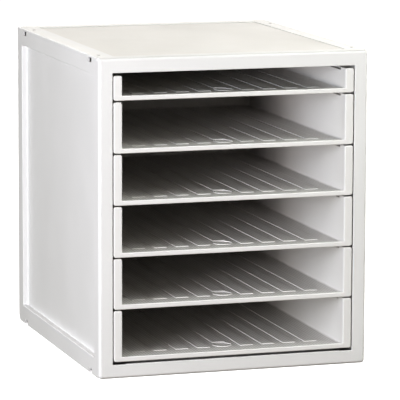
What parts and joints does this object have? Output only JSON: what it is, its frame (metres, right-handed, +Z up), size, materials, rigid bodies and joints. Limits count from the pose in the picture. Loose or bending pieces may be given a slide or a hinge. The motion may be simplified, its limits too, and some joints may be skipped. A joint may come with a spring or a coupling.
{
  "type": "open-tray drawer cabinet",
  "caption": "Desktop cabinet in white moulded plastic with open-front trays that slide forward, shallow at the top and deeper below, for flat sheets of paper and card.",
  "frame": {"origin": "centre of the casing's footprint on the plane it stands on", "axes": "+X to the right and +Y to the rear as seen from the open front, +Z up; trays slide along -Y"},
  "size_m": [0.281, 0.32, 0.32],
  "materials": {
    "casing": "satin moulded white plastic with a fine grain and softly rounded edges",
    "lid": "satin moulded plastic, a slightly warmer white than the casing",
    "tray": "glossier moulded white plastic, smooth inside with raised floor strips",
    "runner": "matt off-white moulded plastic, slightly burnished where the trays slide"
  },
  "bodies": {
    "casing": {"front_frame": "casing", "left_side_panel": "casing", "right_side_panel": "casing", "back_panel": "casing", "top_panel": "lid", "bottom_panel": "casing", "left_runner_1": "runner", "right_runner_1": "runner", "left_runner_2": "runner", "right_runner_2": "runner", "left_runner_3": "runner", "right_runner_3": "runner", "left_runner_4": "runner", "right_runner_4": "runner", "left_runner_5": "runner", "right_runner_5": "runner", "left_runner_6": "runner", "right_runner_6": "runner"},
    "sliding_tray_1": {"tray_1": "tray"},
    "sliding_tray_2": {"tray_2": "tray"},
    "sliding_tray_3": {"tray_3": "tray"},
    "sliding_tray_4": {"tray_4": "tray"},
    "sliding_tray_5": {"tray_5": "tray"},
    "sliding_tray_6": {"tray_6": "tray"}
  },
  "joints": [
    {"name": "tray_1_slide", "type": "slide", "parent": "casing", "child": "sliding_tray_1", "axis": [0, -1, 0], "range_m": [0, 0.24]},
    {"name": "tray_2_slide", "type": "slide", "parent": "casing", "child": "sliding_tray_2", "axis": [0, -1, 0], "range_m": [0, 0.24]},
    {"name": "tray_3_slide", "type": "slide", "parent": "casing", "child": "sliding_tray_3", "axis": [0, -1, 0], "range_m": [0, 0.24]},
    {"name": "tray_4_slide", "type": "slide", "parent": "casing", "child": "sliding_tray_4", "axis": [0, -1, 0], "range_m": [0, 0.24]},
    {"name": "tray_5_slide", "type": "slide", "parent": "casing", "child": "sliding_tray_5", "axis": [0, -1, 0], "range_m": [0, 0.24]},
    {"name": "tray_6_slide", "type": "slide", "parent": "casing", "child": "sliding_tray_6", "axis": [0, -1, 0], "range_m": [0, 0.24]}
  ]
}
